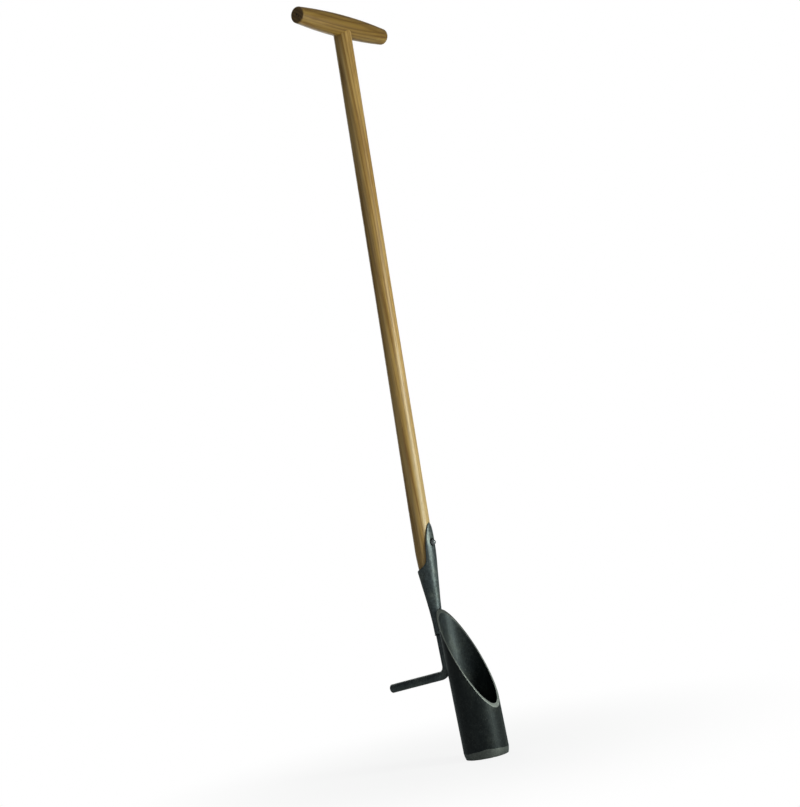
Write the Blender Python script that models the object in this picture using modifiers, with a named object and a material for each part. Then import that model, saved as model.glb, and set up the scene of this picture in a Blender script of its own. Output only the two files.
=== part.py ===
"""Long-handled bulb planter: a steel cutting tube with a slanted window, a round rod welded up its back that
bends out as a foot bar, a rolled socket with a pointed tongue, and an ash shaft with a turned T-grip.

Metres, +Z up. The cutting edge is at z = 0 and the whole tool is centred on the Z axis, so the tube's own
axis lies at y = TUBE_AXIS_Y. The window faces -Y, the foot bar points to +Y and the grip lies along X.
Everything is modelled round the tube's axis and hangs from one empty that sits on it.
"""

import math

import bmesh
import bpy
from mathutils import Matrix, Vector

MM = 0.001
GAP = 0.3 * MM

# Overall
OVERALL_LENGTH = 1066.8 * MM

# Cutting tube
TUBE_RADIUS = 31.75 * MM
TUBE_WALL = 2.5 * MM
WINDOW_FRONT_Z = 65 * MM
WINDOW_BACK_Z = 210 * MM
GROUND_HEIGHT = 8 * MM
EDGE_LAND = 0.8 * MM
TUBE_SIDES = 72

# Rod and foot bar
ROD_RADIUS = 6.25 * MM
ROD_TOP_Z = 208 * MM
BAR_Z = 118 * MM
BAR_REACH = 103 * MM
BAR_DROOP = math.radians(5.5)
BEND_RADIUS = 14 * MM
BAR_CHAMFER = 1.6 * MM

# Socket
SOCKET_BOTTOM_Z = 176 * MM
SOCKET_FLARE_Z = 182 * MM
SOCKET_FULL_Z = 300 * MM
COLLAR_Z = 266 * MM
TONGUE_TIP_Z = 332 * MM
TONGUE_NECK_Z = 283 * MM
TONGUE_NECK_FORWARD = 9.5 * MM
TONGUE_BOW = 0.9 * MM
SOCKET_WALL = 2.2 * MM
SOCKET_END_WALL = 1.0 * MM
SOCKET_THIN_Z = 190 * MM
SOCKET_THICK_Z = 240 * MM
SOCKET_SIDES_LEVEL = 18

# Shaft
SHAFT_LOW_RADIUS = 13.7 * MM
SHAFT_TOP_RADIUS = 12.8 * MM
SHAFT_BOTTOM_Z = 213 * MM
SHAFT_SLIM_Z = 650 * MM

# T-grip and its joint
GRIP_LENGTH = 198 * MM
GRIP_MID_RADIUS = 15.8 * MM
GRIP_END_RADIUS = 11.4 * MM
GRIP_EDGE_ROUND = 2.2 * MM
DIMPLE_RADIUS = 1.3 * MM
DIMPLE_DEPTH = 1.2 * MM
TENON_RADIUS = 9 * MM
WEDGE_TOP = 3.4 * MM
WEDGE_BOTTOM = 1.0 * MM
WEDGE_WIDTH = 15 * MM
WEDGE_DEPTH = 7 * MM

# Screw through the tongue
SCREW_Z = 303.5 * MM
SCREW_HEAD_RADIUS = 4.1 * MM
SCREW_HEAD_HEIGHT = 5.4 * MM
SCREW_SHANK_RADIUS = 2.0 * MM
SCREW_SHANK_LENGTH = 20 * MM
SCREW_SLOT = 1.2 * MM
COUNTERBORE_RADIUS = 4.8 * MM
COUNTERBORE_DEPTH = 1.2 * MM

# Weld beads
ROD_BEAD = 1.6 * MM
SOCKET_BEAD = 1.5 * MM
END_BEAD = 1.0 * MM

# Worked out from the sizes above
ROD_Y = TUBE_RADIUS + GAP + ROD_RADIUS
SOCKET_END_RADIUS = ROD_RADIUS + GAP + SOCKET_END_WALL
SOCKET_FULL_RADIUS = SHAFT_LOW_RADIUS + GAP + SOCKET_WALL
GRIP_Z = OVERALL_LENGTH - GRIP_MID_RADIUS
BAR_END_Y = ROD_Y + BAR_REACH * math.cos(BAR_DROOP) + (ROD_RADIUS - BAR_CHAMFER) * math.sin(BAR_DROOP)
TUBE_AXIS_Y = -(BAR_END_Y - TUBE_RADIUS) / 2
SHAFT_FOOT = Vector((0, 38.7 * MM, 250 * MM))
GRIP_CENTRE = Vector((0, 0, GRIP_Z))
SHAFT_AXIS = (GRIP_CENTRE - SHAFT_FOOT).normalized()


def new_collection(name):
    made = bpy.data.collections.new(name)
    bpy.context.scene.collection.children.link(made)
    return made


for old in list(bpy.data.objects):
    bpy.data.objects.remove(old, do_unlink=True)

PARTS = new_collection("bulb_planter")
CUTTERS = new_collection("cutters")
TUBE_AXIS = bpy.data.objects.new("tube_axis", None)
TUBE_AXIS.location = (0, TUBE_AXIS_Y, 0)
PARTS.objects.link(TUBE_AXIS)


# ---- helpers ----------------------------------------------------------------------------------------------

def make_material(name, colour, roughness, metallic):
    made = bpy.data.materials.new(name)
    made.use_nodes = True
    shader = made.node_tree.nodes["Principled BSDF"]
    shader.inputs["Base Color"].default_value = (*colour, 1)
    shader.inputs["Roughness"].default_value = roughness
    shader.inputs["Metallic"].default_value = metallic
    return made


def place(name, data, material=None):
    """Links a part, or a cutter when it has no material, and hangs it from the tube's axis."""
    made = bpy.data.objects.new(name, data)
    made.parent = TUBE_AXIS
    if material is None:
        CUTTERS.objects.link(made)
        made.hide_render = True
        made.display_type = "WIRE"
    else:
        PARTS.objects.link(made)
        data.materials.append(material)
    return made


def smooth(mesh):
    mesh.shade_smooth()
    mesh.set_sharp_from_angle(angle=math.radians(35))


def turned(name, profile, sides, material=None, closed=False):
    """A profile of (radius, height) points, run down its outer side, turned round the object's Z axis."""
    mesh = bpy.data.meshes.new(name)
    edges = [(i, i + 1) for i in range(len(profile) - 1)]
    if closed:
        edges.append((len(profile) - 1, 0))
    mesh.from_pydata([(radius, 0, height) for radius, height in profile], edges, [])
    made = place(name, mesh, material)
    screw = made.modifiers.new("turn", "SCREW")
    screw.steps = sides
    screw.render_steps = sides
    screw.use_merge_vertices = True
    screw.merge_threshold = 0.00001
    screw.use_smooth_shade = True
    return made


def rod(name, path, radii, sides_level, material=None):
    """A round bar along path, as a mesh, with its own radius at each point and flat ends."""
    curve = bpy.data.curves.new(name, "CURVE")
    curve.dimensions = "3D"
    curve.bevel_depth = radii[0]
    curve.bevel_resolution = sides_level
    curve.use_fill_caps = True
    spline = curve.splines.new("POLY")
    spline.points.add(len(path) - 1)
    for point, where, radius in zip(spline.points, path, radii):
        point.co = (*where, 1)
        point.radius = radius / radii[0]
    return curve_as_mesh(name, curve, material)


def prism(name, outline, half_width, material=None):
    """An outline of (y, z) points, made as thick as twice half_width along X."""
    curve = bpy.data.curves.new(name, "CURVE")
    curve.dimensions = "2D"
    curve.fill_mode = "BOTH"
    curve.extrude = half_width
    spline = curve.splines.new("POLY")
    spline.use_cyclic_u = True
    spline.points.add(len(outline) - 1)
    for point, (y, z) in zip(spline.points, outline):
        point.co = (y, z, 0, 1)
    made = curve_as_mesh(name, curve, material)
    made.data.transform(Matrix(((0, 0, 1, 0), (1, 0, 0, 0), (0, 1, 0, 0), (0, 0, 0, 1))))
    return made


def curve_as_mesh(name, curve, material):
    guide = bpy.data.objects.new(name + "_guide", curve)
    bpy.context.scene.collection.objects.link(guide)
    graph = bpy.context.evaluated_depsgraph_get()
    mesh = bpy.data.meshes.new_from_object(guide.evaluated_get(graph))
    mesh.name = name
    bpy.data.objects.remove(guide, do_unlink=True)
    bpy.data.curves.remove(curve)
    work = bmesh.new()
    work.from_mesh(mesh)
    bmesh.ops.remove_doubles(work, verts=work.verts, dist=0.000001)
    bmesh.ops.recalc_face_normals(work, faces=work.faces)
    work.to_mesh(mesh)
    work.free()
    smooth(mesh)
    return place(name, mesh, material)


def box(name, size, material=None):
    mesh = bpy.data.meshes.new(name)
    work = bmesh.new()
    bmesh.ops.create_cube(work, size=1)
    bmesh.ops.scale(work, verts=work.verts, vec=size)
    work.to_mesh(mesh)
    work.free()
    return place(name, mesh, material)


def boolean(made, operation, other):
    step = made.modifiers.new(other.name, "BOOLEAN")
    step.operation = operation
    step.object = other
    step.solver = "EXACT"


def along(axis, origin):
    """A matrix that stands local Z on axis, with local X kept on the world's X."""
    side = Vector((1, 0, 0))
    return Matrix.Translation(origin) @ Matrix((side, axis.cross(side), axis)).transposed().to_4x4()


def ease(t):
    t = min(max(t, 0), 1)
    return t * t * (3 - 2 * t)


def steps(start, end, count):
    return [start + (end - start) * i / (count - 1) for i in range(count)]


# ---- centre lines and radii -------------------------------------------------------------------------------

def shaft_y(z):
    return SHAFT_FOOT.y + (z - SHAFT_FOOT.z) * SHAFT_AXIS.y / SHAFT_AXIS.z


def centre(z):
    """The socket rises from the rod to meet the leaning shaft at its collar."""
    if z >= COLLAR_Z:
        return Vector((0, shaft_y(z), z))
    t = (z - SOCKET_BOTTOM_Z) / (COLLAR_Z - SOCKET_BOTTOM_Z)
    return Vector((0, ROD_Y + (shaft_y(COLLAR_Z) - ROD_Y) * max(t, 0), z))


def socket_radius(z):
    t = (z - SOCKET_FLARE_Z) / (SOCKET_FULL_Z - SOCKET_FLARE_Z)
    return SOCKET_END_RADIUS + (SOCKET_FULL_RADIUS - SOCKET_END_RADIUS) * ease(t)


def socket_wall(z):
    """The wall is drawn thin where it closes on the rod."""
    t = (z - SOCKET_THIN_Z) / (SOCKET_THICK_Z - SOCKET_THIN_Z)
    return SOCKET_END_WALL + (SOCKET_WALL - SOCKET_END_WALL) * ease(t)


def shaft_radius(z):
    if z <= SOCKET_FULL_Z:
        return socket_radius(z) - socket_wall(z) - GAP
    t = (z - SOCKET_FULL_Z) / (SHAFT_SLIM_Z - SOCKET_FULL_Z)
    return SHAFT_LOW_RADIUS + (SHAFT_TOP_RADIUS - SHAFT_LOW_RADIUS) * ease(t)


def grip_radius(x):
    t = x / (GRIP_LENGTH / 2)
    return GRIP_MID_RADIUS - (GRIP_MID_RADIUS - GRIP_END_RADIUS) * t * t


# ---- parts ------------------------------------------------------------------------------------------------

def cutting_tube(steel):
    bore = TUBE_RADIUS - TUBE_WALL
    top = WINDOW_BACK_Z + TUBE_WALL
    profile = [
        (TUBE_RADIUS, top),
        (TUBE_RADIUS, GROUND_HEIGHT),
        (bore + EDGE_LAND, 0),
        (bore, 0),
        (bore, top),
    ]
    tube = turned("cutting_tube", profile, TUBE_SIDES, steel, closed=True)
    rise = WINDOW_BACK_Z - WINDOW_FRONT_Z
    slope = math.atan2(rise, 2 * TUBE_RADIUS)
    side = 400 * MM
    cutter = box("window_cutter", (side, side, side))
    middle = Vector((0, 0, (WINDOW_BACK_Z + WINDOW_FRONT_Z) / 2))
    normal = Vector((0, -math.sin(slope), math.cos(slope)))
    cutter.location = middle + normal * side / 2
    cutter.rotation_euler = (slope, 0, 0)
    boolean(tube, "DIFFERENCE", cutter)
    return tube


def foot_bar(steel):
    """The rod comes down the tube's back, turns through a bend and runs out behind, drooping slightly."""
    turn = math.pi / 2 - BAR_DROOP
    setback = BEND_RADIUS * math.tan(turn / 2)
    out = Vector((0, math.cos(BAR_DROOP), -math.sin(BAR_DROOP)))
    corner = Vector((0, ROD_Y, BAR_Z))
    hub = corner + Vector((0, BEND_RADIUS, setback))
    path = [Vector((0, ROD_Y, ROD_TOP_Z)), Vector((0, ROD_Y, ROD_TOP_Z - BAR_CHAMFER))]
    for angle in steps(0, turn, 9):
        path.append(hub + Vector((0, -math.cos(angle), -math.sin(angle))) * BEND_RADIUS)
    path.append(corner + out * (BAR_REACH - BAR_CHAMFER))
    path.append(corner + out * BAR_REACH)
    end_radius = ROD_RADIUS - BAR_CHAMFER
    radii = [end_radius] + [ROD_RADIUS] * (len(path) - 2) + [end_radius]
    return rod("foot_bar", path, radii, 10, steel)


def tongue_outline():
    """The side view of what is cut away above the collar: a steep, slightly bowed edge down the tongue's
    sides, then a fillet that sweeps round to the collar."""
    front = SOCKET_FULL_RADIUS + GAP
    back = 40 * MM

    def spot(forward, z):
        return Vector((shaft_y(z) - forward, z))

    tip = spot(front, TONGUE_TIP_Z)
    neck = spot(TONGUE_NECK_FORWARD, TONGUE_NECK_Z)
    heel = spot(-socket_radius(COLLAR_Z), COLLAR_Z)
    down = (neck - tip).normalized()
    bow = Vector((-down.y, down.x)) * TONGUE_BOW
    edge = bezier(tip, tip.lerp(neck, 0.3) + bow, tip.lerp(neck, 0.7) + bow, neck, 8)
    fillet = bezier(neck, neck + down * 10 * MM, heel + Vector((-18, 4.5)) * MM, heel, 9)
    top = TONGUE_TIP_Z + 20 * MM
    return edge + fillet[1:] + [spot(-back, COLLAR_Z), spot(-back, top), spot(front + 8 * MM, top)]


def bezier(a, b, c, d, count):
    points = []
    for t in steps(0, 1, count):
        u = 1 - t
        points.append(a * u**3 + b * 3 * u * u * t + c * 3 * u * t * t + d * t**3)
    return points


def socket(steel):
    heights = [SOCKET_BOTTOM_Z] + steps(SOCKET_FLARE_Z, COLLAR_Z, 7)
    heights += steps(COLLAR_Z, SOCKET_FULL_Z, 4)[1:] + [TONGUE_TIP_Z + 6 * MM]
    radii = [socket_radius(z) for z in heights]
    made = rod("socket", [centre(z) for z in heights], radii, SOCKET_SIDES_LEVEL, steel)

    below = [SOCKET_BOTTOM_Z - 10 * MM] + heights[:-1] + [TONGUE_TIP_Z + 16 * MM]
    inner = [socket_radius(z) - socket_wall(z) for z in below]
    bore = rod("socket_bore", [centre(z) for z in below], inner, SOCKET_SIDES_LEVEL)
    boolean(made, "DIFFERENCE", bore)

    boolean(made, "DIFFERENCE", prism("tongue_cutter", tongue_outline(), 40 * MM))

    saddle = turned(
        "saddle_cutter",
        [(0, 260 * MM), (TUBE_RADIUS + GAP, 260 * MM), (TUBE_RADIUS + GAP, 150 * MM), (0, 150 * MM)],
        TUBE_SIDES,
    )
    trim = box("saddle_trim", (200 * MM, 200 * MM, 100 * MM))
    trim.location = (0, 0, WINDOW_BACK_Z + GAP + 50 * MM)
    boolean(saddle, "DIFFERENCE", trim)
    boolean(made, "DIFFERENCE", saddle)

    seat = SOCKET_FULL_RADIUS - COUNTERBORE_DEPTH
    clear = SCREW_SHANK_RADIUS + GAP
    hole = turned(
        "screw_hole_cutter",
        [
            (0, SOCKET_FULL_RADIUS + 5 * MM),
            (COUNTERBORE_RADIUS, SOCKET_FULL_RADIUS + 5 * MM),
            (COUNTERBORE_RADIUS, seat),
            (clear, seat),
            (clear, -SCREW_SHANK_LENGTH),
            (0, -SCREW_SHANK_LENGTH),
        ],
        24,
    )
    hole.matrix_local = screw_frame()
    boolean(made, "DIFFERENCE", hole)
    return made


def screw_frame():
    """Stands on the shaft's centre line at the screw's height, local Z out through the tongue."""
    outward = Vector((0, -SHAFT_AXIS.z, SHAFT_AXIS.y))
    return along(outward, Vector((0, shaft_y(SCREW_Z), SCREW_Z)))


def socket_screw(zinc):
    under = SOCKET_FULL_RADIUS - COUNTERBORE_DEPTH + GAP
    rim = 1.0 * MM
    dome = SCREW_HEAD_HEIGHT - rim
    tip = under - SCREW_SHANK_LENGTH
    profile = []
    for angle in steps(math.pi / 2, 0, 7):
        profile.append((SCREW_HEAD_RADIUS * math.cos(angle), under + rim + dome * math.sin(angle)))
    profile[0] = (0, profile[0][1])
    profile += [
        (SCREW_HEAD_RADIUS, under),
        (SCREW_SHANK_RADIUS, under),
        (SCREW_SHANK_RADIUS, tip + 4 * MM),
        (0, tip),
    ]
    screw = turned("socket_screw", profile, 24, zinc)
    screw.matrix_local = screw_frame()
    slot = box("slot_cutter", (SCREW_SLOT, 4 * SCREW_HEAD_RADIUS, 2 * MM))
    slot.matrix_local = screw_frame() @ Matrix.Translation((0, 0, under + SCREW_HEAD_HEIGHT))
    boolean(screw, "DIFFERENCE", slot)
    return screw


def barrel(name, extra, material=None):
    """The grip's turned shape along X, with round edges and a lathe-centre dimple in each end."""
    half = GRIP_LENGTH / 2
    flat = half - GRIP_EDGE_ROUND
    side = []
    for angle in steps(math.pi / 2, 0, 5):
        inset = GRIP_EDGE_ROUND * (1 - math.cos(angle))
        side.append((grip_radius(flat) - inset + extra, flat + (GRIP_EDGE_ROUND + extra) * math.sin(angle)))
    side += [(grip_radius(x) + extra, x) for x in steps(flat, 0, 11)[1:]]
    depth = DIMPLE_DEPTH if extra == 0 else 0
    end = [(0, half + extra - depth)]
    if extra == 0:
        end.append((DIMPLE_RADIUS, half))
    upper = end + side
    lower = [(radius, -height) for radius, height in reversed(upper[:-1])]
    made = turned(name, upper + lower, 48, material)
    made.location = GRIP_CENTRE
    made.rotation_euler = (0, math.pi / 2, 0)
    return made


def upright(radius, low, high, name, material=None):
    """A cylinder on the shaft's axis, from low to high along it, counted from the grip's centre."""
    made = turned(name, [(0, high), (radius, high), (radius, low), (0, low)], 40, material)
    made.matrix_local = along(SHAFT_AXIS, GRIP_CENTRE)
    return made


def above_grip():
    """Everything over the grip's surface, to trim the tenon and its wedge flush."""
    block = box("sky_cutter", (60 * MM, 60 * MM, 60 * MM))
    block.location = GRIP_CENTRE + Vector((0, 0, 30 * MM))
    boolean(block, "DIFFERENCE", barrel("barrel_core", 0))
    return block


def t_grip(ash):
    grip = barrel("t_grip", 0, ash)
    boolean(grip, "DIFFERENCE", upright(TENON_RADIUS + GAP, -40 * MM, 40 * MM, "mortise_cutter"))
    return grip


def wedge_blank(name, extra, material=None):
    """Thin along the grip, so that it spreads the tenon against the mortise's end grain."""
    high = 24 * MM
    made = box(name, (2, WEDGE_WIDTH + 2 * extra, high + WEDGE_DEPTH + extra), material)
    slope = (WEDGE_TOP - WEDGE_BOTTOM) / (GRIP_MID_RADIUS + WEDGE_DEPTH)
    for vertex in made.data.vertices:
        top = vertex.co.z > 0
        thick = WEDGE_TOP + slope * (high - GRIP_MID_RADIUS) if top else WEDGE_BOTTOM
        vertex.co.x = math.copysign(thick / 2 + extra, vertex.co.x)
    lift = Matrix.Translation((0, 0, (high - WEDGE_DEPTH - extra) / 2))
    made.matrix_local = along(SHAFT_AXIS, GRIP_CENTRE) @ lift
    return made


def tenon_wedge(oak, sky):
    wedge = wedge_blank("tenon_wedge", 0, oak)
    boolean(wedge, "DIFFERENCE", sky)
    return wedge


def shaft(ash, sky):
    heights = steps(SHAFT_BOTTOM_Z, COLLAR_Z, 7) + steps(COLLAR_Z, SOCKET_FULL_Z, 4)[1:]
    heights += steps(SOCKET_FULL_Z, SHAFT_SLIM_Z, 6)[1:] + [GRIP_Z - 5 * MM]
    made = rod("shaft", [centre(z) for z in heights], [shaft_radius(z) for z in heights], 18, ash)
    boolean(made, "DIFFERENCE", barrel("barrel_clearance", GAP))
    tenon = upright(TENON_RADIUS, -40 * MM, 30 * MM, "tenon")
    boolean(tenon, "DIFFERENCE", sky)
    boolean(tenon, "DIFFERENCE", wedge_blank("wedge_slot", GAP))
    boolean(made, "UNION", tenon)
    pilot = turned(
        "pilot_cutter",
        [
            (0, 2 * SHAFT_LOW_RADIUS),
            (SCREW_SHANK_RADIUS + GAP, 2 * SHAFT_LOW_RADIUS),
            (SCREW_SHANK_RADIUS + GAP, -SCREW_SHANK_LENGTH / 2),
            (0, -SCREW_SHANK_LENGTH / 2),
        ],
        16,
    )
    pilot.matrix_local = screw_frame()
    boolean(made, "DIFFERENCE", pilot)
    return made


def fillet_spot(bead, other_y, other_radius, z):
    """Where a bead lies in the notch between the tube and a round bar behind it, clear of both."""
    to_tube = TUBE_RADIUS + GAP + bead
    to_other = other_radius + GAP + bead
    y = (to_tube**2 - to_other**2 + other_y**2) / (2 * other_y)
    return Vector((math.sqrt(to_tube**2 - y**2), y, z))


def side_bead(name, points, bead, side, steel):
    path = [Vector((side * p.x, p.y, p.z)) for p in points]
    low = [path[0] + Vector((0, 0, -bead * 0.6))]
    high = [path[-1] + Vector((0, 0, bead * 0.6))]
    radii = [bead * 0.6] + [bead] * len(path) + [bead * 0.6]
    return rod(name, low + path + high, radii, 3, steel)


def weld_beads(steel):
    along_rod = [
        fillet_spot(ROD_BEAD, ROD_Y, ROD_RADIUS, z)
        for z in (BAR_Z + BEND_RADIUS, SOCKET_BOTTOM_Z - 2 * END_BEAD - 3 * MM)
    ]
    along_socket = [
        fillet_spot(SOCKET_BEAD, centre(z).y, socket_radius(z), z)
        for z in steps(SOCKET_BOTTOM_Z + 3 * MM, WINDOW_BACK_Z - 9 * MM, 7)
    ]
    for side, word in ((-1, "left"), (1, "right")):
        side_bead("rod_weld_" + word, along_rod, ROD_BEAD, side, steel)
        side_bead("socket_weld_" + word, along_socket, SOCKET_BEAD, side, steel)

    reach = ROD_RADIUS + GAP + END_BEAD
    z = SOCKET_BOTTOM_Z - GAP - END_BEAD
    half_turn = math.radians(112)
    ring = [
        Vector((reach * math.sin(angle), ROD_Y + reach * math.cos(angle), z))
        for angle in steps(-half_turn, half_turn, 21)
    ]
    rod("socket_end_weld", ring, [END_BEAD] * len(ring), 3, steel)


def build():
    forged = make_material("forged_steel", (0.10, 0.11, 0.11), 0.45, 0.8)
    bead = make_material("weld_steel", (0.16, 0.16, 0.16), 0.5, 0.8)
    zinc = make_material("zinc_steel", (0.62, 0.64, 0.66), 0.3, 1.0)
    ash = make_material("ash_wood", (0.60, 0.42, 0.19), 0.5, 0.0)
    oak = make_material("wedge_wood", (0.42, 0.27, 0.13), 0.6, 0.0)
    sky = above_grip()
    cutting_tube(forged)
    foot_bar(forged)
    socket(forged)
    socket_screw(zinc)
    shaft(ash, sky)
    t_grip(ash)
    tenon_wedge(oak, sky)
    weld_beads(bead)


build()
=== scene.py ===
"""Looks of the long-handled bulb planter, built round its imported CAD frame.

Metres, +Z up, in the CAD frame: the tube's window faces -Y, the foot bar points to +Y and the grip lies
along X. Pieces are modelled round the cutting tube's axis, and each object sits on that axis.
"""

import math

import bmesh
import bpy
from mathutils import Matrix, Vector, noise


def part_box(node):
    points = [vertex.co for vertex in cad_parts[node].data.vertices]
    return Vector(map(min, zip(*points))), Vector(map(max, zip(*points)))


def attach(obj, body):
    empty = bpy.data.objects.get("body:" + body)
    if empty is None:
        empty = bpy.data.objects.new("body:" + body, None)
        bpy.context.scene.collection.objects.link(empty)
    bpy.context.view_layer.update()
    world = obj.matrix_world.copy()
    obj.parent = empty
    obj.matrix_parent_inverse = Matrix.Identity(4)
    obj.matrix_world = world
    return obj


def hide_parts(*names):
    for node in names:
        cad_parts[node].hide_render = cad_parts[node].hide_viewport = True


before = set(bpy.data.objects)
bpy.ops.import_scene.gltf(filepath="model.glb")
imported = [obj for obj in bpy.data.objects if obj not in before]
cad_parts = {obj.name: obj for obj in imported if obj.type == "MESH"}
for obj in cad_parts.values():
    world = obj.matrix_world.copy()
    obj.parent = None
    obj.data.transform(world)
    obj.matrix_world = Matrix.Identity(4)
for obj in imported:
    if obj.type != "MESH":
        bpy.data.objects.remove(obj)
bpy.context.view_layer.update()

MM = 0.001

# ---- sizes, the same as the CAD's -------------------------------------------------------------------------

TUBE_LOW, TUBE_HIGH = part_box("cutting_tube")
GRIP_LOW, GRIP_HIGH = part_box("t_grip")
AXIS = Vector((0, (TUBE_LOW.y + TUBE_HIGH.y) / 2, 0))

TUBE_RADIUS = (TUBE_HIGH.x - TUBE_LOW.x) / 2
TUBE_WALL = 2.5 * MM
WINDOW_FRONT_Z = 65 * MM
WINDOW_BACK_Z = TUBE_HIGH.z
EDGE_LAND = 0.8 * MM

GAP = 0.3 * MM
ROD_RADIUS = 6.25 * MM
ROD_Y = TUBE_RADIUS + GAP + ROD_RADIUS
ROD_TOP_Z = 208 * MM
BAR_Z = 118 * MM
BAR_REACH = 103 * MM
BAR_DROOP = math.radians(5.5)
BEND_RADIUS = 14 * MM

SOCKET_BOTTOM_Z = 176 * MM
SOCKET_FLARE_Z = 182 * MM
SOCKET_FULL_Z = 300 * MM
COLLAR_Z = 266 * MM
TONGUE_TIP_Z = 332 * MM
TONGUE_NECK_Z = 283 * MM
TONGUE_NECK_FORWARD = 9.5 * MM
TONGUE_BOW = 0.9 * MM
SOCKET_WALL = 2.2 * MM
SOCKET_END_WALL = 1.0 * MM
SOCKET_THIN_Z = 190 * MM
SOCKET_THICK_Z = 240 * MM

SHAFT_LOW_RADIUS = 13.7 * MM
SHAFT_TOP_RADIUS = 12.8 * MM
SHAFT_BOTTOM_Z = 213 * MM
SHAFT_SLIM_Z = 650 * MM

GRIP_HALF = GRIP_HIGH.x
GRIP_MID_RADIUS = (GRIP_HIGH.z - GRIP_LOW.z) / 2
GRIP_END_RADIUS = 11.4 * MM
GRIP_EDGE_ROUND = 2.2 * MM
TENON_RADIUS = 9 * MM
WEDGE_TOP = 3.4 * MM
WEDGE_BOTTOM = 1.0 * MM
WEDGE_WIDTH = 15 * MM
WEDGE_DEPTH = 7 * MM

SCREW_Z = 303.5 * MM
SCREW_HEAD_RADIUS = 4.1 * MM
SCREW_HEAD_HEIGHT = 5.4 * MM
SCREW_SHANK_RADIUS = 2.0 * MM
SCREW_SHANK_LENGTH = 20 * MM
COUNTERBORE_RADIUS = 4.8 * MM
COUNTERBORE_DEPTH = 1.2 * MM

ROD_BEAD = 1.6 * MM
SOCKET_BEAD = 1.5 * MM
END_BEAD = 1.0 * MM

SOCKET_END_RADIUS = ROD_RADIUS + GAP + SOCKET_END_WALL
SOCKET_FULL_RADIUS = SHAFT_LOW_RADIUS + GAP + SOCKET_WALL
GRIP_CENTRE = Vector((0, 0, (GRIP_HIGH.z + GRIP_LOW.z) / 2))
SHAFT_FOOT = Vector((0, 38.7 * MM, 250 * MM))
SHAFT_AXIS = (GRIP_CENTRE - SHAFT_FOOT).normalized()

# ---- sizes of the finer detail, which the CAD leaves out --------------------------------------------------

# The lathe's two marks in each end of the grip: y, z, radius and depth.
CENTRE_MARKS = ((0.6 * MM, 0.6 * MM, 1.5 * MM, 2.2 * MM), (-1.6 * MM, -2.6 * MM, 1.1 * MM, 1.6 * MM))
BEAD_PITCH = 1.9 * MM
ROD_CHAMFER = 1.6 * MM
UNTINTED = (1.0, 1.0, 1.0)


# ---- helpers ----------------------------------------------------------------------------------------------

def steps(start, end, count):
    return [start + (end - start) * i / (count - 1) for i in range(count)]


def ease(t):
    t = min(max(t, 0), 1)
    return t * t * (3 - 2 * t)


def lattice(name, rings, looped=False, capped=False):
    """A mesh through rings of points. Each ring is closed, and looped joins the last ring to the first."""
    count = len(rings[0])
    points = [point for ring in rings for point in ring]
    faces = []
    last = len(rings) if looped else len(rings) - 1
    for i in range(last):
        near = i * count
        far = (i + 1) % len(rings) * count
        for j in range(count):
            k = (j + 1) % count
            faces.append((near + j, near + k, far + k, far + j))
    if capped:
        faces.append(tuple(range(count))[::-1])
        faces.append(tuple(range(len(points) - count, len(points))))
    mesh = bpy.data.meshes.new(name)
    mesh.from_pydata(points, [], faces)
    work = bmesh.new()
    work.from_mesh(mesh)
    bmesh.ops.remove_doubles(work, verts=work.verts, dist=0.000001)
    bmesh.ops.recalc_face_normals(work, faces=work.faces)
    work.to_mesh(mesh)
    work.free()
    return mesh


def loose(name, mesh):
    made = bpy.data.objects.new(name, mesh)
    bpy.context.scene.collection.objects.link(made)
    return made


def carved(name, mesh, cuts):
    """The mesh with each (operation, other mesh) carried out in turn. The other meshes are used up."""
    body = loose(name, mesh)
    tools = []
    for operation, other in cuts:
        tool = loose(name + "_tool", other)
        tools.append(tool)
        step = body.modifiers.new("cut", "BOOLEAN")
        step.operation = operation
        step.object = tool
        step.solver = "EXACT"
    graph = bpy.context.evaluated_depsgraph_get()
    result = bpy.data.meshes.new_from_object(body.evaluated_get(graph))
    for used in [body] + tools:
        data = used.data
        bpy.data.objects.remove(used)
        bpy.data.meshes.remove(data)
    result.name = name
    return result


def piece(name, mesh, material, slot, *nodes, sharp=35):
    """Puts a finished mesh on the tool, in place of its CAD nodes. Sharp is the angle of a sharp edge."""
    made = loose(name, mesh)
    made.location = AXIS
    mesh.materials.clear()
    mesh.materials.append(material)
    mesh.shade_smooth()
    mesh.set_sharp_from_angle(angle=math.radians(sharp))
    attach(made, "root")
    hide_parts(*nodes)


def turned(name, profile, sides, matrix=None):
    """A profile of (radius, height) points turned round Z, with its two ends on the axis."""
    rings = []
    for radius, height in profile:
        ring = []
        for j in range(sides):
            angle = 2 * math.pi * j / sides
            ring.append(Vector((radius * math.cos(angle), radius * math.sin(angle), height)))
        rings.append(ring)
    mesh = lattice(name, rings)
    if matrix is not None:
        mesh.transform(matrix)
    return mesh


def swept(name, path, radii, sides, dents):
    """A round bar along a path in the plane X = 0, with shallow hammered dents."""
    rings = []
    for i, (centre_point, radius) in enumerate(zip(path, radii)):
        before = path[max(i - 1, 0)]
        after = path[min(i + 1, len(path) - 1)]
        tangent = (after - before).normalized()
        side = Vector((1, 0, 0))
        side = (side - tangent * side.dot(tangent)).normalized()
        other = tangent.cross(side)
        ring = []
        for j in range(sides):
            angle = 2 * math.pi * j / sides
            out = side * math.cos(angle) + other * math.sin(angle)
            dent = dents * noise.noise((centre_point + out * radius) * 70)
            ring.append(centre_point + out * (radius - abs(dent)))
        rings.append(ring)
    return lattice(name, rings, capped=True)


def block(name, size, matrix):
    mesh = bpy.data.meshes.new(name)
    work = bmesh.new()
    bmesh.ops.create_cube(work, size=1)
    bmesh.ops.scale(work, verts=work.verts, vec=size)
    work.to_mesh(mesh)
    work.free()
    mesh.transform(matrix)
    return mesh


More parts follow.
